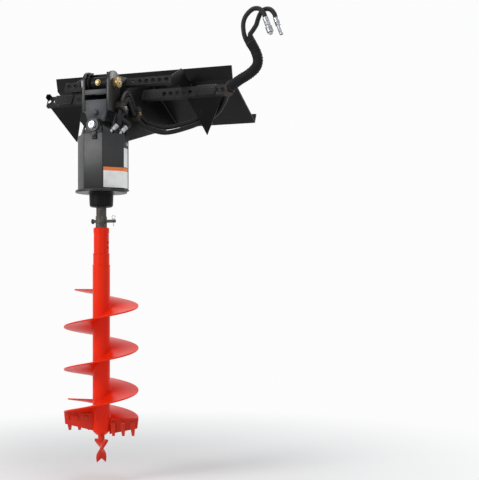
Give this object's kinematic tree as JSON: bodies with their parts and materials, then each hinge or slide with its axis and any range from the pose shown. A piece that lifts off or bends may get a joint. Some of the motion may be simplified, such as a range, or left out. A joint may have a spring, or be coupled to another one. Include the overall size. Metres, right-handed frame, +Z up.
{
  "type": "skid_steer_auger_attachment",
  "caption": "Hydraulic earth auger attachment for a compact loader: stepped mounting frame, swinging yoke, planetary drive head, flighted auger and coupled hoses",
  "frame": {"origin": "centre of the hitch plate's rear face, on which the loader's coupler plate rests", "axes": "+Z up with the auger plumb, +X to the left side of the attachment, -Y ahead of the loader, metres"},
  "size_m": [1.3959, 1.0753, 2.3714],
  "materials": {
    "frame_black": "satin",
    "tread_grey": "satin",
    "bronze": "satin",
    "clamp_brown": "matte",
    "yellow_zinc": "satin",
    "drive_black": "satin",
    "yoke_grey": "satin",
    "zinc": "satin",
    "bare_steel": "satin",
    "hose_rubber": "matte",
    "sleeve_fabric": "matte",
    "auger_red": "satin",
    "blade_red": "satin"
  },
  "bodies": {
    "frame": {"hitch_plate": "frame_black", "boom_side_left": "frame_black", "boom_side_right": "frame_black", "boom_covers": "frame_black", "pivot_tube": "frame_black", "pivot_bushings": "bronze", "lower_tread_left": "tread_grey", "lower_tread_right": "tread_grey", "tread_blocks": "tread_grey", "upper_tread_left": "tread_grey", "upper_tread_right": "tread_grey", "step_posts": "frame_black", "wing_left": "frame_black", "wing_right": "frame_black", "frame_clamps": "clamp_brown", "frame_bolts": "yellow_zinc", "upper_whips": "hose_rubber", "pressure_hose": "hose_rubber", "return_hose": "hose_rubber", "hose_sleeve": "sleeve_fabric", "coupler_bodies": "zinc"},
    "coupler_collar": {"coupler_sleeve": "zinc"},
    "yoke": {"yoke_side_left": "drive_black", "yoke_side_right": "drive_black", "yoke_plates": "yoke_grey", "yoke_boss": "drive_black", "tilt_bushings": "bronze", "yoke_fasteners": "zinc", "swing_pin": "yellow_zinc", "yoke_clamp": "clamp_brown", "lower_whips": "hose_rubber"},
    "drive": {"drive_housing": "drive_black", "top_cover": "drive_black", "tilt_pin": "bare_steel", "keeper_plate": "drive_black", "output_flange": "drive_black", "bearing_housing": "drive_black", "shaft_bearings": "bare_steel", "shaft_seal": "hose_rubber", "ring_gear": "bare_steel", "gear_cover": "drive_black", "hydraulic_motor": "drive_black", "drive_fittings": "zinc", "drive_plugs": "zinc"},
    "sun": {"sun_shaft": "bare_steel"},
    "planet_1": {"planet_gear_1": "bare_steel"},
    "planet_2": {"planet_gear_2": "bare_steel"},
    "planet_3": {"planet_gear_3": "bare_steel"},
    "auger": {"output_shaft": "bare_steel", "planet_pins": "bare_steel", "auger_hub": "bare_steel", "retaining_pin": "bare_steel", "hairpin_clip": "zinc", "auger_collar": "auger_red", "auger_tube": "auger_red", "main_flight": "auger_red", "lead_flight": "auger_red", "cutting_blades": "blade_red", "blade_teeth": "blade_red", "pilot_bit": "blade_red"}
  },
  "joints": [
    {"name": "yoke_swing", "type": "hinge", "parent": "frame", "child": "yoke", "pos_m": [0, -0.67715, -0.00157], "axis": [1, 0, 0], "range_deg": [-55, 6], "deforming": ["upper_whips"]},
    {"name": "drive_tilt", "type": "hinge", "parent": "yoke", "child": "drive", "pos_m": [0, -0.67715, -0.22657], "axis": [0, 1, 0], "range_deg": [-25, 25], "deforming": ["lower_whips"]},
    {"name": "auger_spin", "type": "hinge", "parent": "drive", "child": "auger", "pos_m": [0, -0.67715, -0.56407], "axis": [0, 0, 1], "continuous": true},
    {"name": "sun_spin", "type": "hinge", "parent": "drive", "child": "sun", "pos_m": [0, -0.67715, -0.50407], "axis": [0, 0, 1], "continuous": true},
    {"name": "planet_1_spin", "type": "hinge", "parent": "auger", "child": "planet_1", "pos_m": [0.045, -0.67715, -0.50407], "axis": [0, 0, 1], "continuous": true},
    {"name": "planet_2_spin", "type": "hinge", "parent": "auger", "child": "planet_2", "pos_m": [-0.0225, -0.63818, -0.50407], "axis": [0, 0, 1], "continuous": true},
    {"name": "planet_3_spin", "type": "hinge", "parent": "auger", "child": "planet_3", "pos_m": [-0.0225, -0.71612, -0.50407], "axis": [0, 0, 1], "continuous": true},
    {"name": "coupler_slide", "type": "slide", "parent": "frame", "child": "coupler_collar", "axis": [-0.342, 0, 0.9397], "range_m": [0, 0.0065], "stiffness_N_per_m": 400}
  ],
  "couplings": [
    {"joint": "sun_spin", "follows": "auger_spin", "ratio": 5},
    {"joint": "planet_1_spin", "follows": "auger_spin", "ratio": -2.6667},
    {"joint": "planet_2_spin", "follows": "auger_spin", "ratio": -2.6667},
    {"joint": "planet_3_spin", "follows": "auger_spin", "ratio": -2.6667}
  ]
}
